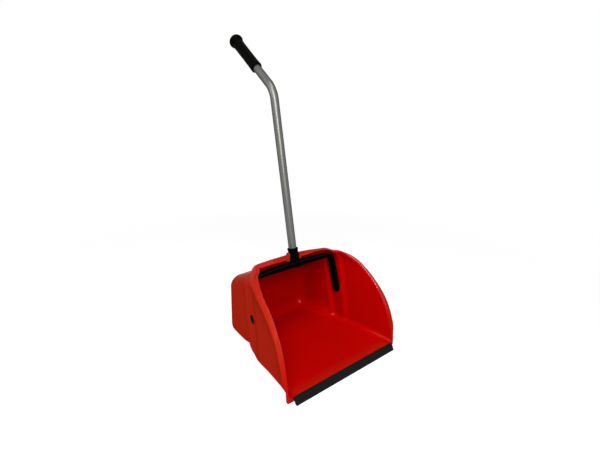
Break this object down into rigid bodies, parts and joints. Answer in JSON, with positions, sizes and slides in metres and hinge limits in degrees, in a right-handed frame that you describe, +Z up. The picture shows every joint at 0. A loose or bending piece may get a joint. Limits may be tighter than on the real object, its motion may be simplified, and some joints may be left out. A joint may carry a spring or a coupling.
{
  "type": "long-handled dustpan",
  "caption": "Long-handled dustpan: deep hooded pan with a rolled rim and rubber front lip, pivoted on a moulded fork with a bent tube handle and a grip.",
  "frame": {"origin": "on the ground at the front of the flat foot under the rear of the bin, on the plane of symmetry", "axes": "+Z up, -Y out of the mouth towards the dirt, +X along the hinge line of the handle"},
  "size_m": [0.426, 0.572, 0.945],
  "materials": {
    "pan_plastic": "semi-gloss moulded",
    "lip_rubber": "satin",
    "fork_plastic": "satin moulded",
    "tube_metal": "drawn, satin",
    "rivet_metal": "plain",
    "grip_plastic": "fine grained"
  },
  "bodies": {
    "pan": {"hopper": "pan_plastic", "lip_strip": "lip_rubber"},
    "handle": {"yoke": "fork_plastic", "pivot_pin_left": "fork_plastic", "pivot_pin_right": "fork_plastic", "handle_tube": "tube_metal", "handle_rivet": "rivet_metal", "grip": "grip_plastic"}
  },
  "joints": [
    {"name": "handle_fold", "type": "hinge", "parent": "pan", "child": "handle", "pos_m": [0, -0.11876, 0.138], "axis": [1, 0, 0], "range_deg": [0, 105]}
  ]
}
